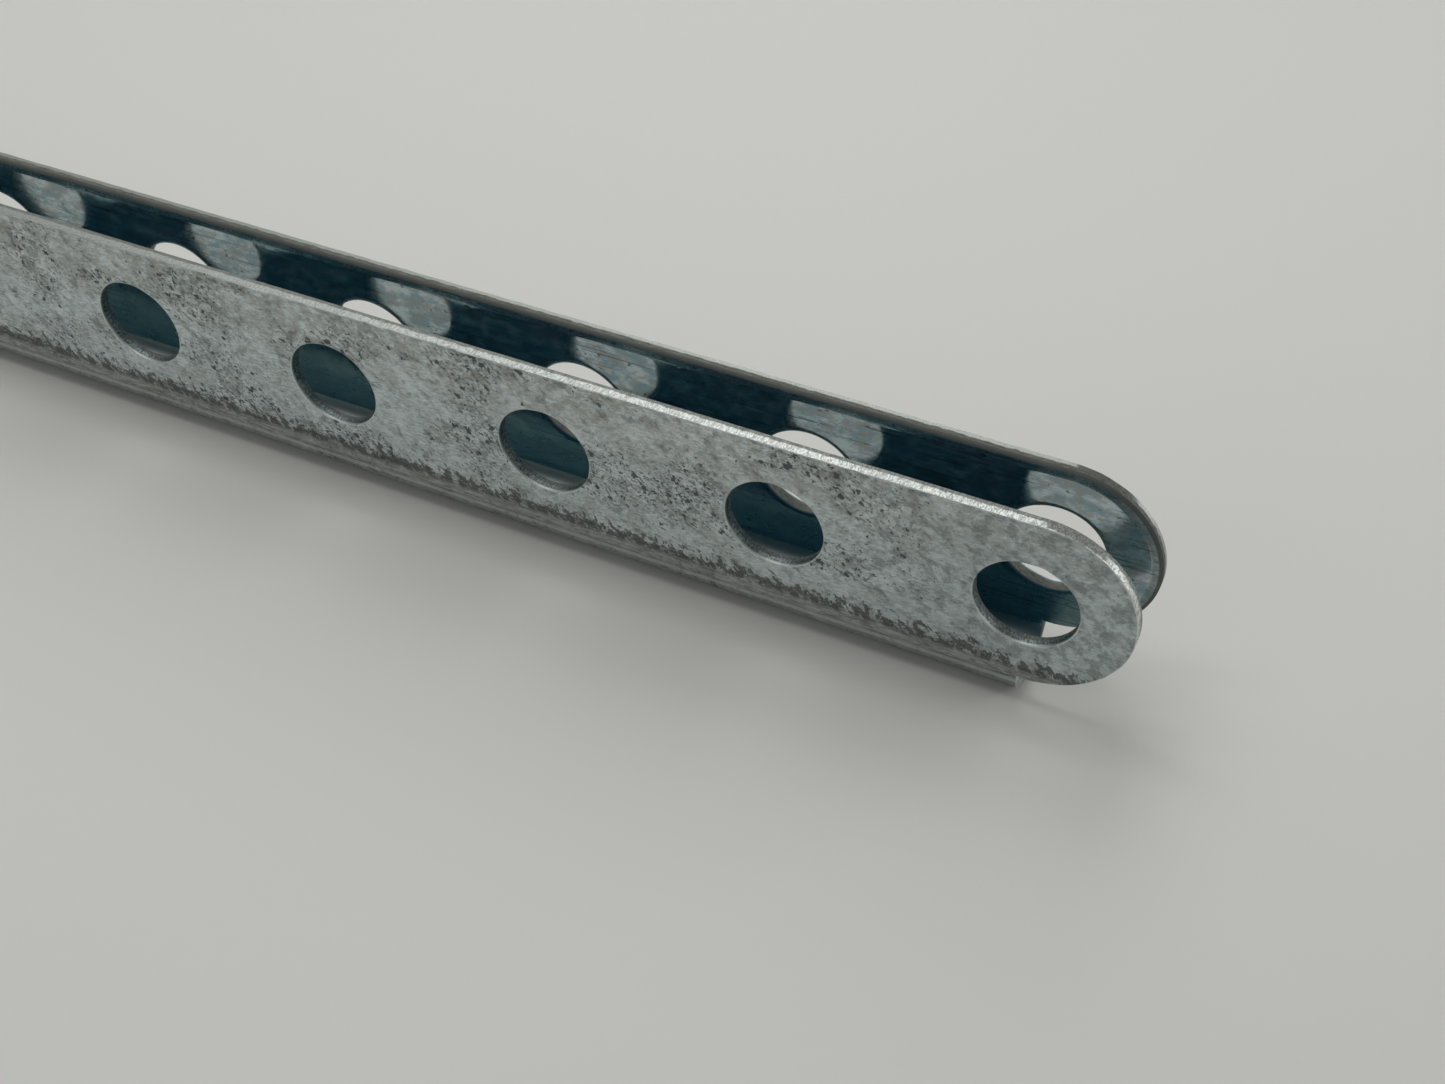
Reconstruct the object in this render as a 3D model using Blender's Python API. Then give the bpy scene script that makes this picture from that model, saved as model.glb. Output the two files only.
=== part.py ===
"""Perforated sheet-steel U-channel with rounded clevis ends.

One zinc-coated sheet, punched, cut to shape and folded once along each side of a narrow web.
Metres, +Z up, +X along the channel, Y across it. The origin is under the middle of the web.
"""

import math

import bmesh
import bpy
from mathutils import Vector

# Sheet and section
SHEET = 0.0011            # thickness of the sheet
WIDTH = 0.0074            # over the outer faces of both flanges
HEIGHT = 0.0185           # underside of the web to the top edges of the flanges
BEND_RADIUS = 0.0026      # outside radius of the two bends beside the web

# Row of holes through both flanges
HOLE_PAIRS = 10
PITCH = 0.020             # hole centre to hole centre
HOLE_DIAMETER = 0.0082
HOLE_HEIGHT = 0.0106      # underside of the web to the hole centres

# Ends
EAR_RADIUS = 0.00785      # full-round end of each flange
EAR_REACH = 0.0083        # end hole's centre to the tip of the ear
WEB_REACH = 0.0002        # end hole's centre to the square-cut end of the web

# Facets of the round stretches
BEND_STEPS = 8
EAR_STEPS = 24
HOLE_SIDES = 40
SHARP_ANGLE = 30          # degrees between faces that meet in an edge

# How far a blank or a cutter runs past what it cuts
OVERSHOOT = 0.004

ZINC_COLOUR = (0.40, 0.43, 0.43, 1.0)
ZINC_ROUGHNESS = 0.42
ZINC_METALLIC = 0.85


def clear_scene():
    for old in list(bpy.data.objects):
        bpy.data.objects.remove(old, do_unlink=True)


def galvanised_steel():
    """Zinc-coated steel, pale blue-grey with a soft sheen."""
    material = bpy.data.materials.new("galvanised_steel")
    material.use_nodes = True
    shader = material.node_tree.nodes["Principled BSDF"]
    shader.inputs["Base Color"].default_value = ZINC_COLOUR
    shader.inputs["Roughness"].default_value = ZINC_ROUGHNESS
    shader.inputs["Metallic"].default_value = ZINC_METALLIC
    return material


def arc(centre, radius, start, end, steps):
    """Points of an arc in a plane, both ends included. Angles in degrees."""
    points = []
    for step in range(steps + 1):
        angle = math.radians(start + (end - start) * step / steps)
        points.append((centre[0] + radius * math.cos(angle), centre[1] + radius * math.sin(angle)))
    return points


def prism(name, outline, place, sweep):
    """A closed prism: the outline's (u, v) points set out by place() and swept along a vector."""
    mesh = bpy.data.meshes.new(name)
    body = bmesh.new()
    base = body.faces.new([body.verts.new(place(u, v)) for u, v in outline])
    swept = bmesh.ops.extrude_face_region(body, geom=[base])["geom"]
    moved = [item for item in swept if isinstance(item, bmesh.types.BMVert)]
    bmesh.ops.translate(body, verts=moved, vec=sweep)
    bmesh.ops.recalc_face_normals(body, faces=body.faces[:])
    body.to_mesh(mesh)
    body.free()
    piece = bpy.data.objects.new(name, mesh)
    bpy.context.collection.objects.link(piece)
    return piece


def section_outline():
    """The folded sheet's section in Y, Z, with its flanges left too tall for the trim."""
    half = WIDTH / 2
    tall = HEIGHT + OVERSHOOT
    inner = BEND_RADIUS - SHEET
    right = half - BEND_RADIUS
    outside = arc((-right, BEND_RADIUS), BEND_RADIUS, 180, 270, BEND_STEPS)
    outside += arc((right, BEND_RADIUS), BEND_RADIUS, 270, 360, BEND_STEPS)
    inside = arc((right, BEND_RADIUS), inner, 0, -90, BEND_STEPS)
    inside += arc((-right, BEND_RADIUS), inner, -90, -180, BEND_STEPS)
    points = [(-half, tall)] + outside + [(half, tall)]
    points += [(half - SHEET, tall)] + inside + [(SHEET - half, tall)]
    return points


def side_outline():
    """The channel's side view in X, Z: two full-round ears, and a shorter web below them."""
    last_hole = PITCH * (HOLE_PAIRS - 1) / 2
    ear_x = last_hole + EAR_REACH - EAR_RADIUS
    ear_z = HEIGHT - EAR_RADIUS
    web_x = last_hole + WEB_REACH
    right = arc((ear_x, ear_z), EAR_RADIUS, 90, -90, EAR_STEPS)
    right += [(web_x, ear_z - EAR_RADIUS), (web_x, -OVERSHOOT)]
    left = [(-x, z) for x, z in reversed(right)]
    return right + left


def cutter(piece):
    piece.hide_render = True
    piece.display_type = "WIRE"
    return piece


def trim_block():
    """What the flat blank's outline leaves of the folded channel, seen from the side."""
    reach = WIDTH / 2 + OVERSHOOT
    block = prism("trim_block", side_outline(), lambda x, z: Vector((x, -reach, z)), Vector((0, 2 * reach, 0)))
    return cutter(block)


def hole_punches():
    """One punch for each pair of aligned holes, across both flanges."""
    mesh = bpy.data.meshes.new("hole_punches")
    body = bmesh.new()
    reach = WIDTH / 2 + OVERSHOOT
    for index in range(HOLE_PAIRS):
        x = PITCH * (index - (HOLE_PAIRS - 1) / 2)
        circle = arc((x, HOLE_HEIGHT), HOLE_DIAMETER / 2, 0, 360, HOLE_SIDES)[:-1]
        base = body.faces.new([body.verts.new((u, -reach, v)) for u, v in circle])
        swept = bmesh.ops.extrude_face_region(body, geom=[base])["geom"]
        moved = [item for item in swept if isinstance(item, bmesh.types.BMVert)]
        bmesh.ops.translate(body, verts=moved, vec=(0, 2 * reach, 0))
    bmesh.ops.recalc_face_normals(body, faces=body.faces[:])
    body.to_mesh(mesh)
    body.free()
    punches = bpy.data.objects.new("hole_punches", mesh)
    bpy.context.collection.objects.link(punches)
    return cutter(punches)


def boolean(piece, tool, operation):
    step = piece.modifiers.new(tool.name, "BOOLEAN")
    step.operation = operation
    step.solver = "EXACT"
    step.object = tool


def freeze(piece):
    """Keep the shape that the modifiers make as the piece's own mesh, smooth on its round faces."""
    cut = piece.evaluated_get(bpy.context.evaluated_depsgraph_get())
    piece.data = bpy.data.meshes.new_from_object(cut)
    piece.modifiers.clear()
    piece.data.shade_smooth()
    piece.data.set_sharp_from_angle(angle=math.radians(SHARP_ANGLE))


def perforated_channel():
    """The whole part: a folded section, trimmed to its side view and punched."""
    length = PITCH * (HOLE_PAIRS - 1) + 2 * (EAR_REACH + OVERSHOOT)
    channel = prism("perforated_channel", section_outline(),
                    lambda y, z: Vector((-length / 2, y, z)), Vector((length, 0, 0)))
    channel.data.materials.append(galvanised_steel())
    boolean(channel, trim_block(), "INTERSECT")
    boolean(channel, hole_punches(), "DIFFERENCE")
    freeze(channel)
    return channel


clear_scene()
perforated_channel()
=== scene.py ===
"""Looks for the perforated, folded sheet-steel channel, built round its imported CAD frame.

The sheet is laid out flat first, as its blank: holes, round ears and the shorter web between them.
It is given its two skins, its punched and sheared edges, and then folded.
Metres, +Z up, +X along the channel, Y across it. The near flange is the one on the -Y side.
On the blank, x runs along the channel and u runs across it, from the web's middle along the outer skin.
"""

import math

import bpy
import numpy as np
from mathutils import Matrix, Vector


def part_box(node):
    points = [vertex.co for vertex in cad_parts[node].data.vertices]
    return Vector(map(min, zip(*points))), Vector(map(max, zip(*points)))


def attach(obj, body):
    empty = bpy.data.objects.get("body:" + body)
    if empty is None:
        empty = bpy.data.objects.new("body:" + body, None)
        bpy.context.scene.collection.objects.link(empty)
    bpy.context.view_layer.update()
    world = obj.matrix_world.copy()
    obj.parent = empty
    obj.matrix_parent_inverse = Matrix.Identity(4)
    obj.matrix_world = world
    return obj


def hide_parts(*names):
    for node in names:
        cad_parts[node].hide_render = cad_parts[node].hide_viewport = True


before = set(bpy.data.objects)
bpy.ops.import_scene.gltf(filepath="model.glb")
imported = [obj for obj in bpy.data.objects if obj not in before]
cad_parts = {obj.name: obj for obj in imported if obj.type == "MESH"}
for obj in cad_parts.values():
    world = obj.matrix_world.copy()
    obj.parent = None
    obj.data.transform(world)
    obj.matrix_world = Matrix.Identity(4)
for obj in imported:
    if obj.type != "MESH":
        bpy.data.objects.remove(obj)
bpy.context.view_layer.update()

MM = 0.001
LOW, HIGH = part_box("perforated_channel")
LENGTH = HIGH.x - LOW.x
WIDTH = HIGH.y - LOW.y
HEIGHT = HIGH.z - LOW.z

# The sheet, its folds, its holes and its ends
SHEET = 1.1 * MM
BEND_RADIUS = 2.6 * MM          # outside radius of the two bends
HOLE_PAIRS = 10
PITCH = 20 * MM
HOLE_RADIUS = 4.1 * MM
HOLE_HEIGHT = 10.6 * MM
EAR_RADIUS = 7.85 * MM
WEB_REACH = 0.2 * MM            # the web's square end beyond the last hole's centre

LAST_HOLE = PITCH * (HOLE_PAIRS - 1) / 2
EAR_X = LENGTH / 2 - EAR_RADIUS
EAR_Z = HEIGHT - EAR_RADIUS
EAR_FOOT = EAR_Z - EAR_RADIUS
WEB_END = LAST_HOLE + WEB_REACH
WEB_HALF = WIDTH / 2 - BEND_RADIUS
FOLD = WEB_HALF + BEND_RADIUS * math.pi / 2     # u at the top of a bend

# Punching and shearing pull the inner skin down at every edge and leave a burr on the outer skin
OUTLINE_SAG = (0.20 * MM, 0.80 * MM)            # depth at the edge, and how far in it reaches
OUTLINE_ROUND = (0.13 * MM, 0.30 * MM)
HOLE_SAG = (0.05 * MM, 0.42 * MM)
HOLE_ROUND = (0.08 * MM, 0.16 * MM)
NEAR_SAG = 0.25                                 # share of those depths on the near flange
FOOT_SAG = 0.25                                 # share of them level with the ears' lower edges and below
FOOT_REACH = 1.5 * MM                           # and how far above that they are whole
BEVEL = (0.05 * MM, 0.07 * MM)                  # the outer rim: depth and width
BURR = (0.012 * MM, 0.2 * MM)                   # the burr round it: height and width

# Unevenness of all that: its share of the depth, the length of its bumps and its seed
SAG_UNEVEN = (0.08, 7 * MM, 3)
BURR_UNEVEN = (0.6, 1.9 * MM, 5)
BEVEL_UNEVEN = (0.4, 2.3 * MM, 8)
SWELL = (0.006 * MM, 9 * MM, 11)                # the whole sheet's waviness: depth, length and seed
WAVES = 9
WAVE_SPREAD = (0.7, 1.6)                        # their frequencies, as multiples of the one asked for
WAVE_SUM = 4                                    # that many waves stay within about this

# The mesh: rings of points round the holes, steps along the borders of their cells, layers in the walls
RIM_STEPS = [0, 0.07 * MM, 0.15 * MM, 0.30 * MM, 0.38 * MM, 0.48 * MM, 0.75 * MM, 0.82 * MM,
             0.90 * MM, 1.02 * MM]
WALL_LAYERS = [0.0, 0.3, 0.65, 1.0]
MOST_SLANT = 1.65               # the most by which a step along a slanted ray is lengthened
MIDDLE_RINGS = 2
SIDE_STEPS = 12
TOP_STEPS = 32
FLOOR_STEPS = 20
EAR_STEPS = 48
END_FLOOR_STEPS = 8
END_TOP_STEPS = 17
BEND_STEPS = 8
SHARP_ANGLE = 38                # degrees between faces that meet in an edge
WELD_GRID = 0.002 * MM
SAME = 1e-9                     # metres between points that should coincide
SAME_DECIMALS = 9
HOLE_WALL = 0.1 * MM            # walls nearer to a hole than this are the hole's own
OFF_EDGE = 1                    # metres: the distance to an edge that isn't on that side


def blank_height(z):
    """The u of a height on a flange."""
    return FOLD + z - BEND_RADIUS


def fold(x, u, depth):
    """Points of the folded sheet from points of its blank. Depth is measured in from the outer skin."""
    side = np.where(u < 0, -1.0, 1.0)
    along = np.abs(u)
    turn = np.clip((along - WEB_HALF) / BEND_RADIUS, 0, math.pi / 2)
    radius = BEND_RADIUS - depth
    y = np.minimum(along, WEB_HALF) + radius * np.sin(turn)
    z = BEND_RADIUS - radius * np.cos(turn) + np.maximum(along - FOLD, 0)
    return np.stack([x, side * y, z], axis=-1)


def ripple(x, u, length, seed):
    """A smooth random surface between about -1 and 1, with bumps of about that length."""
    draw = np.random.default_rng(seed)
    total = np.zeros_like(x)
    for _ in range(WAVES):
        angle, phase = draw.uniform(0, 2 * math.pi, 2)
        stretch = draw.uniform(*WAVE_SPREAD)
        across = x * math.cos(angle) + u * math.sin(angle)
        total += np.cos(2 * math.pi * stretch / length * across + phase)
    return total / WAVE_SUM


def uneven(x, u, share, length, seed):
    """A factor that varies round 1 by about that share."""
    return 1 + share * ripple(x, u, length, seed)


def roll(gap, depth, reach, power):
    """How far the skin drops at that distance from an edge."""
    return depth * np.clip(1 - gap / reach, 0, 1) ** power


def hole_centre(index):
    """The x of a hole pair's centre."""
    return PITCH * (index - (HOLE_PAIRS - 1) / 2)


def to_outline(x, u):
    """Distance from a point of the blank to the nearest sheared edge."""
    x, z = np.abs(x), np.abs(u) - FOLD + BEND_RADIUS
    top = np.where(x < EAR_X, HEIGHT - z, OFF_EDGE)
    ear = np.where(x >= EAR_X, EAR_RADIUS - np.hypot(x - EAR_X, z - EAR_Z), OFF_EDGE)
    foot = np.where((x > WEB_END) & (x < EAR_X), z - EAR_FOOT, OFF_EDGE)
    corner = np.hypot(np.maximum(WEB_END - x, 0), np.maximum(z - EAR_FOOT, 0))
    corner = np.where(x > WEB_END, OFF_EDGE, corner)
    end = np.where(z < EAR_FOOT, WEB_END - x, OFF_EDGE)
    return np.maximum(np.minimum.reduce([top, ear, foot, corner, end]), 0)


def to_hole(x, u):
    """Distance from a point of the blank to the edge of the nearest hole."""
    index = np.clip(np.round(x / PITCH + (HOLE_PAIRS - 1) / 2), 0, HOLE_PAIRS - 1)
    gap = np.hypot(x - hole_centre(index), np.abs(u) - blank_height(HOLE_HEIGHT)) - HOLE_RADIUS
    return np.maximum(gap, 0)


def cell_outline(last):
    """The border of a hole's cell, anticlockwise from its lower left corner, with the hole at the origin."""
    left, right = -PITCH / 2, PITCH / 2
    foot, head = EAR_FOOT - HOLE_HEIGHT, HEIGHT - HOLE_HEIGHT
    rise = list(np.linspace(foot, head - RIM_STEPS[-1], SIDE_STEPS + 1))
    rise += [head - step for step in RIM_STEPS[-2::-1]]
    if not last:
        bottom = np.linspace(left, right, FLOOR_STEPS + 1)[:-1]
        top = np.linspace(right, left, TOP_STEPS + 1)[:-1]
        border = [(x, foot) for x in bottom] + [(right, z) for z in rise[:-1]] + [(x, head) for x in top]
    else:
        bottom = list(np.linspace(left, WEB_REACH - RIM_STEPS[-1], END_FLOOR_STEPS + 1)[:-1])
        bottom += [WEB_REACH - step for step in reversed(RIM_STEPS)]
        centre = Vector((EAR_X - LAST_HOLE, EAR_Z - HOLE_HEIGHT))
        border = [(x, foot) for x in bottom]
        for step in range(EAR_STEPS + 1):
            angle = math.radians(-90 + 180 * step / EAR_STEPS)
            border.append((centre.x + EAR_RADIUS * math.cos(angle), centre.y + EAR_RADIUS * math.sin(angle)))
        border += [(x, head) for x in np.linspace(centre.x, left, END_TOP_STEPS + 1)[1:-1]]
    border += [(left, z) for z in rise[:0:-1]]
    return np.array(border)


def cell_grid(last):
    """Rings of points from the hole's edge out to the cell's border, closer together at both."""
    border = cell_outline(last)
    reach = np.hypot(border[:, 0], border[:, 1])
    start = border / reach[:, None] * HOLE_RADIUS
    span = reach - HOLE_RADIUS
    # Rays meet the straight borders at a slant, so a step along them has to be longer there
    slant = np.clip(reach / np.abs(border[:, 1]), 1, MOST_SLANT)
    slant = np.where(last & (border[:, 0] > 0), 1, slant)
    first, final = RIM_STEPS[-1] / span, 1 - RIM_STEPS[-1] * slant / span
    middle = [step / (MIDDLE_RINGS + 1) for step in range(1, MIDDLE_RINGS + 1)]
    rings = [step / span for step in RIM_STEPS]
    rings += [first + (final - first) * share for share in middle]
    rings += [1 - step * slant / span for step in reversed(RIM_STEPS)]
    shares = np.array(rings)
    return start[None] + (border - start)[None] * shares[:, :, None]


def grid_faces(rows, columns, closed):
    """Quads over a grid of points numbered row by row."""
    faces = []
    for row in range(rows - 1):
        for column in range(columns if closed else columns - 1):
            beside = (column + 1) % columns
            faces.append((row * columns + column, row * columns + beside,
                          (row + 1) * columns + beside, (row + 1) * columns + column))
    return np.array(faces)


def blank_patches():
    """The flat blank as patches of points (x, u) with their quads."""
    patches = []
    for index in range(HOLE_PAIRS):
        grid = cell_grid(index in (0, HOLE_PAIRS - 1))
        mirror = -1 if index == 0 else 1
        for side in (-1, 1):
            x = hole_centre(index) + mirror * grid[..., 0]
            u = side * blank_height(grid[..., 1] + HOLE_HEIGHT)
            points = np.stack([x, u], axis=-1).reshape(-1, 2)
            patches.append((points, grid_faces(*grid.shape[:2], True)))
    # The web and both bends, in columns that meet the cells' lower borders
    foot = blank_height(EAR_FOOT)
    stations = [points[np.abs(np.abs(points[:, 1]) - foot) < SAME, 0] for points, _ in patches]
    stations = np.concatenate(stations)
    stations = stations[np.abs(stations) < WEB_END + SAME]
    stations = np.unique(np.round(stations, SAME_DECIMALS))
    half = [0, WEB_HALF / 2] + list(np.linspace(WEB_HALF, FOLD, BEND_STEPS + 1)) + [foot]
    across = np.array([-value for value in reversed(half)] + half[1:])
    x, u = np.meshgrid(stations, across)
    points = np.stack([x, u], axis=-1).reshape(-1, 2)
    patches.append((points, grid_faces(len(across), len(stations), False)))
    return patches


def weld(patches):
    """All patches as one list of points and quads, with the points that coincide merged."""
    points, faces, count = [], [], 0
    for patch, quads in patches:
        points.append(patch)
        faces.append(quads + count)
        count += len(patch)
    points, faces = np.concatenate(points), np.concatenate(faces)
    keys = np.round(points / WELD_GRID).astype(np.int64)
    _, kept, index = np.unique(keys, axis=0, return_index=True, return_inverse=True)
    return points[kept], index.ravel()[faces]


def open_edges(faces):
    """The edges that only one quad uses: the rims of the blank and of its holes."""
    edges = np.concatenate([faces[:, [corner, (corner + 1) % 4]] for corner in range(4)])
    ordered = np.sort(edges, axis=1)
    _, index, counts = np.unique(ordered, axis=0, return_index=True, return_counts=True)
    return edges[index[counts == 1]]


def skin_depths(x, u):
    """How deep the outer and the inner skin lie below the flat outer face, at points of the blank."""
    outline, hole = to_outline(x, u), to_hole(x, u)
    sag = roll(outline, *OUTLINE_SAG, 1) + roll(outline, *OUTLINE_ROUND, 2)
    sag += roll(hole, *HOLE_SAG, 1) + roll(hole, *HOLE_ROUND, 2)
    sag *= uneven(x, u, *SAG_UNEVEN)
    sag *= FOOT_SAG + (1 - FOOT_SAG) * np.clip((np.abs(u) - blank_height(EAR_FOOT)) / FOOT_REACH, 0, 1)
    sag *= np.where(u < 0, NEAR_SAG, 1)
    edge = np.minimum(outline, hole)
    burr = uneven(x, u, *BURR_UNEVEN) * roll(edge, *BURR, 1)
    bevel = uneven(x, u, *BEVEL_UNEVEN) * roll(edge, *BEVEL, 1)
    swell = SWELL[0] * ripple(x, u, *SWELL[1:])
    return swell - burr + bevel, SHEET + swell - sag


def sheet_mesh():
    """The folded sheet as one closed mesh: two skins, and layered walls along every edge."""
    points, faces = weld(blank_patches())
    x, u = points[:, 0], points[:, 1]
    outer_depth, inner_depth = skin_depths(x, u)

    count = len(points)
    rims = open_edges(faces)
    on_rim = np.unique(rims)
    layers = len(WALL_LAYERS)
    number = np.full((layers, count), -1)
    number[0] = np.arange(count)
    number[-1] = np.arange(count) + count
    xs, us, depths = [x, x], [u, u], [outer_depth, inner_depth]
    made = 2 * count
    for layer in range(1, layers - 1):
        number[layer, on_rim] = made + np.arange(len(on_rim))
        made += len(on_rim)
        share = WALL_LAYERS[layer]
        xs.append(x[on_rim])
        us.append(u[on_rim])
        depths.append(outer_depth[on_rim] * (1 - share) + inner_depth[on_rim] * share)
    x, u, depth = np.concatenate(xs), np.concatenate(us), np.concatenate(depths)

    skin = [faces, (faces + count)[:, ::-1]]
    walls = []
    for layer in range(layers - 1):
        a, b = number[layer], number[layer + 1]
        walls.append(np.stack([a[rims[:, 1]], a[rims[:, 0]], b[rims[:, 0]], b[rims[:, 1]]], axis=1))
    wall = np.concatenate(walls)
    quads = np.concatenate(skin + [wall])
    wall_middle = np.stack([x, u], axis=-1)[wall].mean(axis=1)
    in_hole = to_hole(wall_middle[:, 0], wall_middle[:, 1]) < HOLE_WALL
    # Materials in the order in which the piece gets them
    slots = np.concatenate([np.zeros(len(faces)), np.ones(len(faces)), np.where(in_hole, 3, 2)])

    mesh = bpy.data.meshes.new("channel_sheet")
    mesh.from_pydata(fold(x, u, depth).tolist(), [], quads.tolist())
    mesh.polygons.foreach_set("material_index", slots.astype(np.int32))
    # The materials' coordinates, in mm: the place on the blank, and the distance to each kind of edge
    blank = mesh.attributes.new("blank", "FLOAT_VECTOR", "POINT")
    blank.data.foreach_set("vector", (np.stack([x, u, depth], axis=-1) / MM).astype(np.float32).ravel())
    for name, distance in (("rim", to_outline), ("bore", to_hole)):
        given = mesh.attributes.new(name, "FLOAT", "POINT")
        given.data.foreach_set("value", (distance(x, u) / MM).astype(np.float32))
    mesh.validate()
    mesh.shade_smooth()
    mesh.set_sharp_from_angle(angle=math.radians(SHARP_ANGLE))
    return mesh


# ---------------------------------------------------------------- materials

SHIFT_ACROSS = 0.7              # a texture moves this much across the blank for each mm along it
BLOT_RADIUS = 0.75              # of the largest blots there can be, in cells
BLOT_EDGE = (-0.01, 0.06)
BLOT_WOBBLE = 2.2               # bumps of a blot's outline, per cell


class Shading:
    """A node material being put together. Lengths in its textures are millimetres."""

    def __init__(self, name):
        self.material = bpy.data.materials.new(name)
        self.material.use_nodes = True
        self.tree = self.material.node_tree
        self.shader = self.tree.nodes["Principled BSDF"]
        self.blank = self.node("ShaderNodeAttribute", attribute_name="blank").outputs["Vector"]

    def node(self, kind, sources=None, **settings):
        made = self.tree.nodes.new(kind)
        for key, value in settings.items():
            setattr(made, key, value)
        for socket, source in (sources or {}).items():
            self.feed(made.inputs[socket], source)
        return made

    def feed(self, socket, source):
        if isinstance(source, bpy.types.NodeSocket):
            self.tree.links.new(source, socket)
        else:
            socket.default_value = source

    def part(self, index):
        """One coordinate of the blank: 0 along, 1 across, 2 through the sheet."""
        return self.node("ShaderNodeSeparateXYZ", {0: self.blank}).outputs[index]

    def height(self):
        """Height above the underside, measured along the outer skin on the bends and the web."""
        return self.calc("SUBTRACT", self.calc("ABSOLUTE", self.part(1)), (FOLD - BEND_RADIUS) / MM)

    def along(self):
        """Distance from the middle of the channel."""
        return self.calc("ABSOLUTE", self.part(0))

    def flange(self, near, far):
        """One value on the near flange and another on the far one."""
        return self.ramp(self.part(1), -1, 1, near, far)

    def given(self, name):
        return self.node("ShaderNodeAttribute", attribute_name=name).outputs["Fac"]

    def calc(self, operation, *values):
        return self.node("ShaderNodeMath", dict(enumerate(values)), operation=operation).outputs[0]

    def times(self, *values):
        return self.calc("MULTIPLY", *values)

    def plus(self, value, other, share=None):
        """The sum of two values, or of the first and a share of the second."""
        return self.calc("ADD", value, other if share is None else self.times(other, share))

    def most(self, *values):
        return self.calc("MAXIMUM", *values)

    def ramp(self, value, low, high, start=0.0, end=1.0):
        """Start below low, end above high, and a smooth change between."""
        sources = {"Value": value, "From Min": low, "From Max": high, "To Min": start, "To Max": end}
        return self.node("ShaderNodeMapRange", sources, interpolation_type="SMOOTHSTEP").outputs["Result"]

    def fall(self, value, low, high):
        return self.ramp(value, low, high, 1, 0)

    def between(self, value, rise, fall):
        """1 between a rise and a fall, and 0 outside them."""
        return self.times(self.ramp(value, *rise), self.fall(value, *fall))

    def sway(self, noise, width):
        """Noise as a shift to either side of a line, at most about half that width."""
        return self.times(self.calc("SUBTRACT", noise, 0.5), width)

    def mix(self, factor, first, second):
        sources = {"Factor": factor, "A": first, "B": second}
        made = self.node("ShaderNodeMix", data_type="RGBA")
        for name, source in sources.items():
            socket = [s for s in made.inputs if s.name == name and s.enabled][0]
            self.feed(socket, source)
        return [s for s in made.outputs if s.enabled][0]

    def tint(self, colour, where, strength, toward):
        """The colour, drawn toward another one by that strength where the mask is 1."""
        return self.mix(self.times(where, strength), colour, toward)

    def placed(self, size, stretch, turn, shift):
        """The blank's coordinates counted in features of that size, longer along it by stretch."""
        moved = self.node("ShaderNodeMapping", {
            "Vector": self.blank, "Rotation": (0, 0, math.radians(turn)),
            "Location": (shift, shift * SHIFT_ACROSS, 0)})
        return self.node("ShaderNodeMapping", {
            "Vector": moved.outputs[0], "Scale": (1 / (size * stretch), 1 / size, 1 / size)}).outputs[0]

    def noise(self, stretch, size, detail=3.0, roughness=0.5, turn=0.0, shift=0.0):
        """Noise between 0 and 1 with features of about that size."""
        return self.node("ShaderNodeTexNoise", {
            "Vector": self.placed(size, stretch, turn, shift), "Scale": 1.0, "Detail": detail,
            "Roughness": roughness}).outputs["Fac"]

    def spots(self, size, stretch, share, turn=0.0, shift=0.0, warp=0.35):
        """Separate blots in about that share of cells of that size, each with its own radius."""
        place = self.placed(size, stretch, turn, shift)
        wobble = self.node("ShaderNodeTexNoise", {"Vector": place, "Scale": BLOT_WOBBLE, "Detail": 2.0})
        pushed = self.node("ShaderNodeVectorMath", {0: wobble.outputs["Color"], 1: (warp, warp, warp)},
                           operation="MULTIPLY")
        moved = self.node("ShaderNodeVectorMath", {0: place, 1: pushed.outputs[0]}, operation="ADD")
        cells = self.node("ShaderNodeTexVoronoi", {"Vector": moved.outputs[0], "Scale": 1.0})
        lot = self.node("ShaderNodeSeparateColor", {0: cells.outputs["Color"]}).outputs[0]
        radius = self.times(self.calc("SUBTRACT", self.plus(lot, share), 1.0), BLOT_RADIUS)
        inside = self.calc("SUBTRACT", radius, cells.outputs["Distance"])
        return self.ramp(inside, *BLOT_EDGE)

    def bump(self, height, distance, under=None):
        sources = {"Height": height, "Distance": distance, "Strength": 1.0}
        if under is not None:
            sources["Normal"] = under
        return self.node("ShaderNodeBump", sources).outputs["Normal"]

    def finish(self, colour, metallic, roughness, normal):
        for socket, source in (("Base Color", colour), ("Metallic", metallic),
                               ("Roughness", roughness), ("Normal", normal)):
            self.feed(self.shader.inputs[socket], source)
        return self.material


ZINC_PALE = (0.64, 0.725, 0.735, 1)
ZINC_DEEP = (0.40, 0.465, 0.475, 1)
ZINC_STREAK = (0.82, 0.88, 0.89, 1)
ZINC_BROWN = (0.37, 0.355, 0.31, 1)
SPECK = (0.07, 0.085, 0.082, 1)
OXIDE = (0.16, 0.152, 0.13, 1)
OXIDE_DARK = (0.085, 0.082, 0.070, 1)
OXIDE_PALE = (0.42, 0.425, 0.40, 1)
INNER_PALE = (0.57, 0.67, 0.70, 1)
INNER_DEEP = (0.27, 0.39, 0.43, 1)
INNER_STAIN = (0.36, 0.37, 0.34, 1)
INNER_DULL = (0.10, 0.13, 0.13, 1)
TROUGH_PAINTED_SHADE = (0.11, 0.19, 0.215, 1)
INNER_WEB = (0.40, 0.44, 0.425, 1)
FRACTURE = (0.175, 0.180, 0.160, 1)
BARE = (0.65, 0.69, 0.66, 1)
BARE_DULL = (0.33, 0.35, 0.33, 1)
PUNCHED = (0.32, 0.37, 0.37, 1)
PUNCHED_DULL = (0.10, 0.125, 0.125, 1)
INNER_METALLIC = 0.93
INNER_LEAN = 0.03               # how far the inner faces seem to lean in, per height

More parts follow.
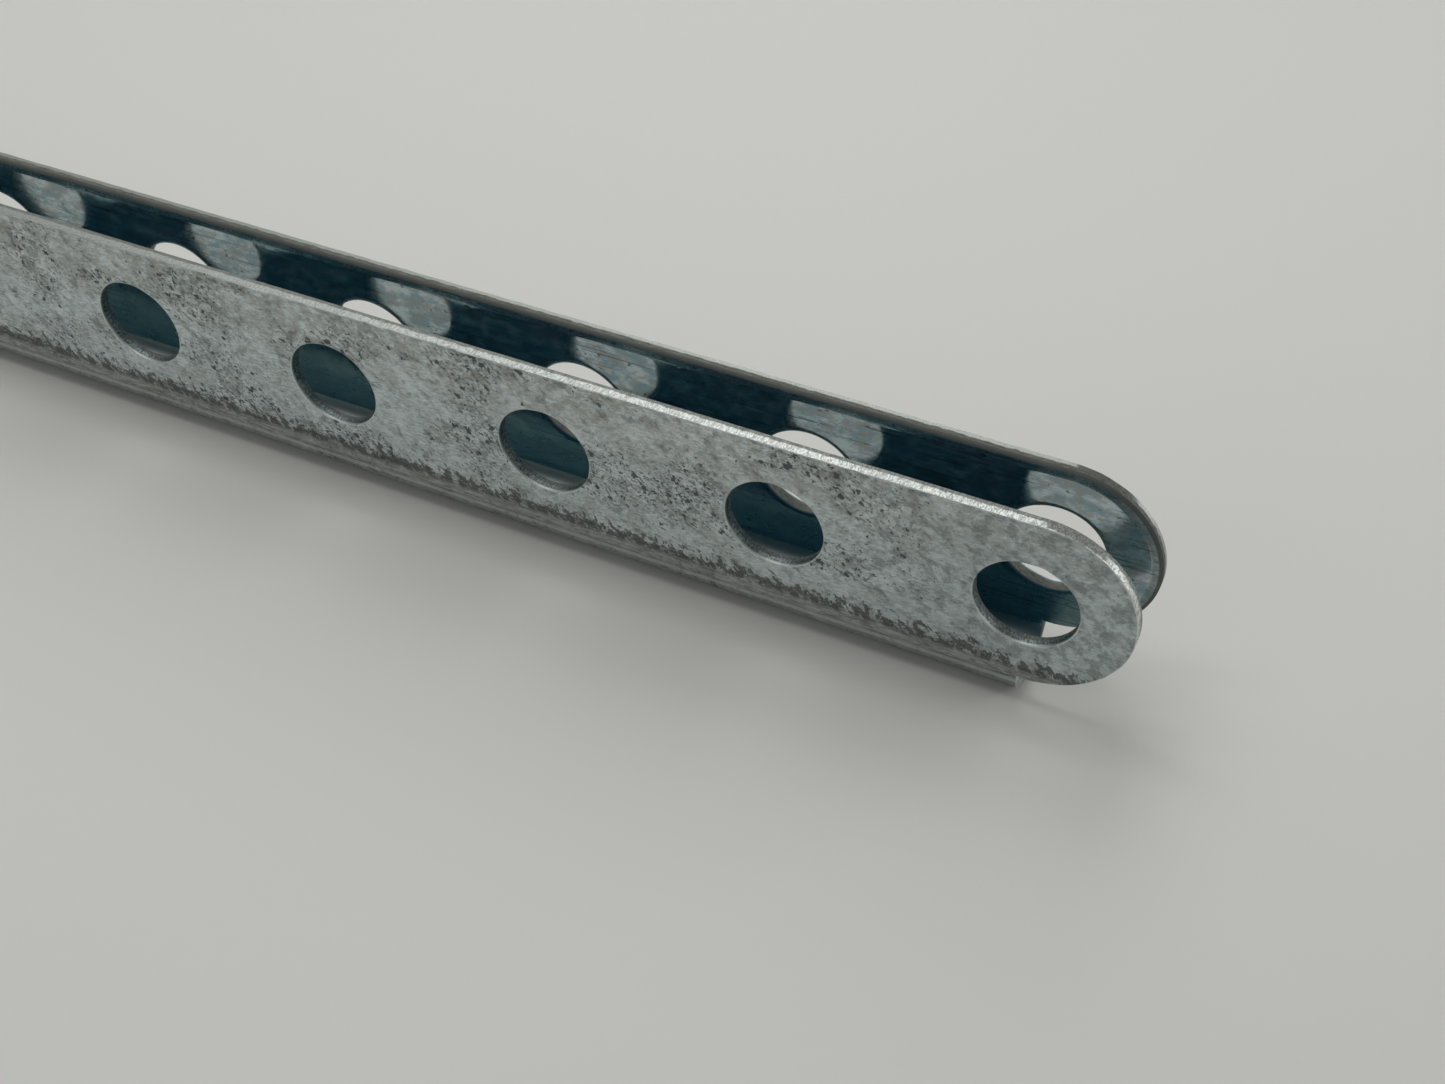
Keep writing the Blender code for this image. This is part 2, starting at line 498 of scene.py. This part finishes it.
# Heights above the underside at which a finish changes, in mm
BROWNER = (14.0, 20.5)          # the outer skin turns browner toward its top
BEND_PAINTED_HIGHLIGHT = (2.0, 2.2), (2.4, 2.6)
BEND_PAINTED_SHADE = (2.3, 3.0)
FLAKE_FOOT = (2.35, 2.6)
FLAKE_TOP = (4.15, 4.25)
BRINK_PAINTED_SHADE = (3.6, 4.1), (4.2, 4.4)  # a dark line painted along the flaked band's top: painted shade of the zinc's step
FLECK_FOOT = (3.2, 3.9)
FLECK_FADE = (3.8, 6.8)
TROUGH = (6.0, 9.5)             # the inner skin is painted darker downward as painted shade, and grows duller
MATT_WEB = (2.3, 2.6)
DULL_ABOVE = (4, 7)             # the drawn-down borders look dull above here
BROWN_ABOVE = (3, 5)            # and brown at the very edge above here

# Distances from an edge of the sheet, in mm
WORN_RIM = (0.06, 0.12)
DULL_RIM = (0.72, 0.84)
DULL_BORE = (0.34, 0.44)
BROWN_RIM = (0.26, 0.36)

# Places along the channel, in mm
EAR_MOTTLE = (LAST_HOLE - PITCH * 0.9) / MM, (LAST_HOLE + PITCH / 8) / MM
WEB_END_PAINTED_SHADE = LAST_HOLE / MM - 50, LAST_HOLE / MM - 5
DULL_TIP = LAST_HOLE / MM + 2.5, LAST_HOLE / MM + 5
EDGE_PAINTED_SHEEN = (-10, 70)           # the sheared edges are painted duller toward -X and brighter toward +X: painted shade and highlight
TORN_ARC = (0.0, 0.4), (4.2, 5.2)   # past the centre of an ear

# Depths into the sheet, in mm
SHEARED_TO = 0.64
PUNCHED_TO = 0.62
TEAR_EDGE = 0.08                # over which burnished metal turns into torn metal
FAR_TEAR = 0.28                 # how much further the far flange's edges are torn
TORN_STRIP = (0.10, 0.22)
LIP = (0.14, 0.30)


def outer_skin():
    """Mottled zinc with pits and scuffs in drifts, and a band above each bend where it has flaked off."""
    s = Shading("zinc_outer_skin")
    height = s.height()
    grain = s.noise(3.5, 0.18, detail=4, roughness=0.75, turn=4)
    clouds = s.noise(1.5, 0.6, detail=6, roughness=0.8)
    broad = s.noise(1.5, 6.0, detail=2, shift=31)
    colour = s.mix(s.ramp(clouds, 0.36, 0.62), ZINC_DEEP, ZINC_PALE)
    colour = s.tint(colour, s.ramp(grain, 0.46, 0.62), 0.6, ZINC_STREAK)
    colour = s.tint(colour, s.fall(grain, 0.34, 0.48), 0.5, ZINC_BROWN)
    upper = s.ramp(s.plus(height, broad, 6), *BROWNER, 0.12, 1)
    stain = s.ramp(s.noise(1.4, 0.8, detail=6, roughness=0.78, shift=7), 0.42, 0.56)
    colour = s.mix(s.times(stain, s.times(upper, 0.65)), colour, ZINC_BROWN)

    # Broad pale and dull patches
    patch = s.noise(1.4, 2.4, detail=5, roughness=0.62, turn=-30, shift=87)
    colour = s.mix(s.ramp(patch, 0.50, 0.64, 0, 0.28), colour, ZINC_BROWN)
    colour = s.mix(s.ramp(patch, 0.38, 0.50, 0.35, 0), colour, ZINC_STREAK)

    # Dark pits and scuffs in drifts, but hardly any on the ears, which are darker and mottled instead
    ear = s.ramp(s.along(), *EAR_MOTTLE)
    colour = s.tint(colour, ear, 0.35, ZINC_DEEP)
    drift = s.times(s.ramp(broad, 0.40, 0.62, 0.10, 1.0), s.calc("SUBTRACT", 1.05, ear))
    share = s.plus(s.times(drift, 0.45), 0.18)
    pits = s.most(s.spots(1.0, 1.2, s.times(share, 0.75), turn=-35, shift=23, warp=1.2),
                  s.spots(0.6, 1.2, share, turn=-35, shift=3, warp=1.1))
    small = s.spots(0.32, 1.3, s.calc("SUBTRACT", share, 0.12), turn=-35, shift=13, warp=1.0)
    scuffs = s.noise(1.5, 0.32, detail=5, roughness=0.72, turn=-38, shift=19)
    scuffs = s.ramp(s.plus(scuffs, s.ramp(drift, 0, 1, -0.06, 0.08)), 0.60, 0.66)
    smears = s.noise(1.2, 1.3, detail=6, roughness=0.72, turn=-38, shift=29)
    smears = s.plus(smears, ear, 0.07)
    smears = s.ramp(s.plus(smears, s.ramp(drift, 0, 1, 0.0, 0.03)), 0.52, 0.64)
    speck = s.most(s.most(pits, small), s.times(scuffs, 0.75))
    speck = s.most(s.times(speck, 0.9), s.times(smears, 0.4))
    colour = s.mix(speck, colour, SPECK)

    # The zinc has flaked off the band above each bend, up to a ragged line with flecks beyond it
    ragged = s.noise(1.2, 1.1, detail=7, roughness=0.85, shift=17)
    edge = s.plus(height, s.sway(ragged, 5.0))
    flaked = s.times(s.fall(edge, *FLAKE_TOP), s.ramp(height, *FLAKE_FOOT))
    # A dark line painted along the ragged edge as painted shade of the zinc's step, joined by dark oxide
    # flecks beyond it
    brink_shade_and_flecks = s.between(edge, *BRINK_PAINTED_SHADE)
    brink_shade_and_flecks = s.times(brink_shade_and_flecks, s.ramp(s.noise(1.5, 2.5, detail=4, shift=73), 0.46, 0.56))
    flecks = s.noise(1.7, 0.7, detail=6, roughness=0.72, turn=-55, shift=37)
    flecks = s.ramp(s.plus(flecks, s.ramp(height, *FLECK_FADE, 0.08, -0.12)), 0.54, 0.57)
    brink_shade_and_flecks = s.most(brink_shade_and_flecks, s.times(flecks, s.ramp(height, *FLECK_FOOT)))
    streaks = s.noise(9, 0.2, detail=5, roughness=0.7, shift=5)
    band = s.mix(s.ramp(streaks, 0.38, 0.60), OXIDE, OXIDE_PALE)
    blotch = s.ramp(s.noise(2.2, 0.6, detail=6, roughness=0.75, shift=67), 0.52, 0.60)
    band = s.tint(band, blotch, 0.7, OXIDE_DARK)
    colour = s.tint(colour, flaked, 0.72, band)
    colour = s.tint(colour, brink_shade_and_flecks, 0.8, OXIDE_DARK)
    # Painted shade: the bend and the web are painted darker and browner, and a painted highlight runs along
    # the top of the bend
    colour = s.mix(s.ramp(height, *BEND_PAINTED_SHADE, 0.5, 0), colour, OXIDE)
    colour = s.tint(colour, s.between(height, *BEND_PAINTED_HIGHLIGHT), 0.3, ZINC_STREAK)

    # Bare metal glints here and there along the rims
    worn = s.most(speck, s.most(flaked, brink_shade_and_flecks))
    rough = s.plus(s.ramp(clouds, 0.3, 0.7, 0.50, 0.38), worn, 0.16)
    to_edge = s.calc("MINIMUM", s.given("rim"), s.given("bore"))
    glint = s.times(s.fall(to_edge, *WORN_RIM), s.ramp(s.noise(1, 2.0, detail=3, shift=23), 0.38, 0.55))
    colour = s.mix(glint, colour, BARE)
    rough = s.plus(rough, glint, -0.15)
    metallic = s.ramp(worn, 0, 1, 1.0, 0.6)
    fine = s.noise(5, 0.12, detail=3, roughness=0.6, shift=2)
    normal = s.bump(fine, 0.008 * MM)
    normal = s.bump(clouds, 0.012 * MM, under=normal)
    normal = s.bump(s.fall(worn, 0, 1), 0.012 * MM, under=normal)
    return s.finish(colour, metallic, rough, normal)


def inner_skin():
    """Smoother zinc that mirrors its surroundings, with rolling lines, stains and drawn-down borders."""
    s = Shading("zinc_inner_skin")
    height, along = s.height(), s.along()
    clouds = s.noise(1.6, 1.3, detail=6, roughness=0.72, shift=41)
    lines = s.noise(40, 0.09, detail=2, shift=43)
    colour = s.mix(s.ramp(clouds, 0.40, 0.60), INNER_DEEP, INNER_PALE)
    stain = s.noise(1.8, 0.8, detail=6, roughness=0.78, shift=61)
    colour = s.tint(colour, s.ramp(stain, 0.47, 0.58), 0.75, INNER_STAIN)
    colour = s.tint(colour, s.ramp(lines, 0.52, 0.75), 0.35, INNER_DEEP)
    # Painted shade: the lower stretch of the inner skin is painted darker
    colour = s.mix(s.ramp(height, *TROUGH, 0.85, 0), colour, TROUGH_PAINTED_SHADE)
    scratch = s.ramp(s.noise(60, 0.16, detail=1, shift=71), 0.65, 0.69)
    speck = s.most(s.spots(0.5, 1.3, 0.42, shift=47, warp=1.1), scratch)
    colour = s.tint(colour, speck, 0.75, SPECK)
    # The web and the bends inside it are matt, and the web is painted darker toward both ends as painted
    # shade
    low = s.fall(s.plus(height, clouds, 0.6), *MATT_WEB)
    colour = s.mix(low, colour, s.mix(s.ramp(along, *WEB_END_PAINTED_SHADE, 0, 0.75), INNER_WEB, INNER_DULL))
    # Drawn-down borders: dull, and brown at the very edge
    ragged = s.sway(stain, 0.8)
    dull = s.most(s.fall(s.plus(s.given("rim"), ragged), *DULL_RIM),
                  s.fall(s.plus(s.given("bore"), ragged), *DULL_BORE))
    dull = s.times(dull, s.ramp(height, *DULL_ABOVE))
    colour = s.tint(colour, dull, 0.5, INNER_DULL)
    brown = s.fall(s.plus(s.given("rim"), ragged, 0.3), *BROWN_RIM)
    brown = s.times(brown, s.ramp(height, *BROWN_ABOVE))
    colour = s.tint(colour, brown, 0.92, FRACTURE)
    rough = s.plus(s.ramp(clouds, 0.35, 0.65, 0.10, 0.05), dull, 0.20)
    rough = s.plus(rough, s.ramp(height, *TROUGH, 0.18, 0))
    rough = s.plus(rough, brown, 0.35)
    rough = s.plus(rough, low, 0.25)
    rough = s.plus(rough, s.ramp(along, *DULL_TIP, 0, 0.14))
    normal = s.bump(s.times(height, INNER_LEAN), MM)
    normal = s.bump(lines, 0.0012 * MM, under=normal)
    normal = s.bump(clouds, 0.0025 * MM, under=normal)
    return s.finish(colour, INNER_METALLIC, rough, normal)


def cut_edge(name, bright, dull, torn_from, ears=False):
    """A sheared wall: burnished on the outer part of the thickness, torn and browner on the inner part."""
    s = Shading(name)
    through = s.part(2)
    streaks = s.noise(0.35, 0.30, detail=5, roughness=0.72, shift=53)
    ragged = s.sway(s.noise(1.5, 0.5, detail=4, roughness=0.65, shift=59), 0.4)
    ragged = s.plus(ragged, s.flange(0, FAR_TEAR))
    torn = s.ramp(s.plus(through, ragged), torn_from, torn_from + TEAR_EDGE)
    colour = s.mix(s.ramp(streaks, 0.40, 0.60), dull, bright)
    colour = s.mix(s.flange(0, 0.85), colour, dull)
    if ears:
        # Painted shade and highlight: the edges are painted duller toward -X. The ears were cropped in a
        # second stroke, which tore all but a thin outer strip of their upper arcs
        colour = s.mix(s.ramp(s.part(0), *EDGE_PAINTED_SHEEN, 0.8, 0), colour, dull)
        arc = s.between(s.calc("SUBTRACT", s.along(), EAR_X / MM), *TORN_ARC)
        strip = s.ramp(s.plus(through, ragged), *TORN_STRIP)
        torn = s.most(torn, s.times(s.times(arc, strip), 0.95))
    else:
        # The punch burnished a bright lip beside the outer skin
        colour = s.mix(s.ramp(s.plus(through, ragged, 0.3), *LIP, 0.85, 0), colour, BARE)
    split = s.noise(5, 0.16, detail=5, roughness=0.7, shift=79)
    tear = s.mix(s.times(s.ramp(split, 0.42, 0.60), 0.7), FRACTURE, OXIDE_DARK)
    colour = s.mix(s.times(torn, s.flange(0.62, 0.92)), colour, tear)
    rough = s.plus(s.ramp(streaks, 0.3, 0.7, 0.58, 0.40), torn, 0.2)
    normal = s.bump(streaks, 0.012 * MM)
    return s.finish(colour, 1.0, rough, normal)


# ---------------------------------------------------------------- the piece

channel = bpy.data.objects.new("channel_sheet", sheet_mesh())
bpy.context.scene.collection.objects.link(channel)
channel.data.materials.append(outer_skin())
channel.data.materials.append(inner_skin())
channel.data.materials.append(cut_edge("sheared_edge", BARE, BARE_DULL, SHEARED_TO, ears=True))
channel.data.materials.append(cut_edge("punched_wall", PUNCHED, PUNCHED_DULL, PUNCHED_TO))
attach(channel, "root")
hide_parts("perforated_channel")

# ---------------------------------------------------------------- floor, light and camera

FLOOR_SIZE = 4.0
FLOOR_TONE = (0.70, 0.70, 0.665, 1)
FLOOR_ROUGHNESS = 0.6
WORLD_TONE = (0.22, 0.22, 0.217, 1)
# Soft lights: azimuth from +Y toward +X and elevation in degrees, then distance, width and height
# in metres, and radiance
SOFTBOXES = {
    "window": (-16, 45, 0.37, 0.16, 0.26, 1.90),
    "overhead": (-58, 60, 0.30, 0.20, 0.20, 1.20),
    "left": (-90, 62, 0.45, 0.18, 0.18, 4.2),
    "side": (57, 17, 0.30, 0.17, 0.17, 2.3),
    "fill": (205, 32, 0.80, 0.60, 0.40, 0.55),
}
GLOSSY_BOUNCES = 8              # the trough's two walls mirror each other

# Brightness of red and of blue before and after the tone curves
RED_CURVE = [(0.008, 0.0036), (0.0215, 0.0158), (0.045, 0.044)]
BLUE_CURVE = [(0.0144, 0.0190), (0.029, 0.0325), (0.055, 0.0555)]

# The camera's direction and roll in degrees, its lens and sensor in mm, and what it points at
VIEW_AZIMUTH = -26.22
VIEW_ELEVATION = 44.44
VIEW_ROLL = 1.05
VIEW_LENS = 45.09
VIEW_SENSOR = 36
VIEW_DISTANCE = 136.0 * MM
VIEW_AIM = Vector((LAST_HOLE - 22.7 * MM, LOW.y - 3.3 * MM, LOW.z + HOLE_HEIGHT))
VIEW_CLIP = (0.005, 20)


def direction(azimuth, elevation):
    """A unit vector: azimuth 0 points along +Y, and 90 along +X."""
    a, e = math.radians(azimuth), math.radians(elevation)
    return Vector((math.sin(a) * math.cos(e), math.cos(a) * math.cos(e), math.sin(e)))


def plain_floor():
    """A pale floor, level with the underside."""
    mesh = bpy.data.meshes.new("floor")
    half = FLOOR_SIZE / 2
    corners = [(-half, -half, 0), (half, -half, 0), (half, half, 0), (-half, half, 0)]
    mesh.from_pydata(corners, [], [(0, 1, 2, 3)])
    floor = bpy.data.objects.new("floor", mesh)
    floor.location.z = LOW.z
    material = bpy.data.materials.new("floor")
    material.use_nodes = True
    shader = material.node_tree.nodes["Principled BSDF"]
    shader.inputs["Base Color"].default_value = FLOOR_TONE
    shader.inputs["Roughness"].default_value = FLOOR_ROUGHNESS
    mesh.materials.append(material)
    bpy.context.scene.collection.objects.link(floor)


def soft_light():
    """A grey world, and the soft lights round the point that the camera looks at."""
    world = bpy.data.worlds.new("studio")
    world.use_nodes = True
    world.node_tree.nodes["Background"].inputs["Color"].default_value = WORLD_TONE
    bpy.context.scene.world = world
    for name, (azimuth, elevation, distance, width, height, radiance) in SOFTBOXES.items():
        data = bpy.data.lights.new(name, "AREA")
        data.shape = "RECTANGLE"
        data.size, data.size_y = width, height
        data.energy = radiance * math.pi * width * height
        light = bpy.data.objects.new(name, data)
        toward = direction(azimuth, elevation)
        light.location = VIEW_AIM + toward * distance
        light.rotation_euler = toward.to_track_quat("Z", "Y").to_euler()
        bpy.context.scene.collection.objects.link(light)


def photo_camera():
    """The camera at the photo's viewing angle."""
    data = bpy.data.cameras.new("camera")
    data.lens = VIEW_LENS
    data.sensor_width = VIEW_SENSOR
    data.clip_start, data.clip_end = VIEW_CLIP
    camera = bpy.data.objects.new("camera", data)
    ahead = direction(VIEW_AZIMUTH, -VIEW_ELEVATION)
    right = Vector((math.cos(math.radians(VIEW_AZIMUTH)), -math.sin(math.radians(VIEW_AZIMUTH)), 0))
    up = right.cross(ahead)
    turn = Matrix.Rotation(math.radians(VIEW_ROLL), 3, ahead)
    right, up = turn @ right, turn @ up
    camera.matrix_world = Matrix.Translation(VIEW_AIM - ahead * VIEW_DISTANCE) @ Matrix(
        (right, up, -ahead)).transposed().to_4x4()
    bpy.context.scene.collection.objects.link(camera)
    bpy.context.scene.camera = camera


def cool_shadows():
    """The photo's tone: neutral, with its darkest tones drawn toward teal."""
    view = bpy.context.scene.view_settings
    view.view_transform = "Standard"
    view.use_curve_mapping = True
    for curve, points in zip(view.curve_mapping.curves, (RED_CURVE, [], BLUE_CURVE)):
        for before, after in points:
            curve.points.new(before, after).handle_type = "VECTOR"
    view.curve_mapping.update()


plain_floor()
soft_light()
photo_camera()
cool_shadows()
bpy.context.scene.cycles.glossy_bounces = GLOSSY_BOUNCES
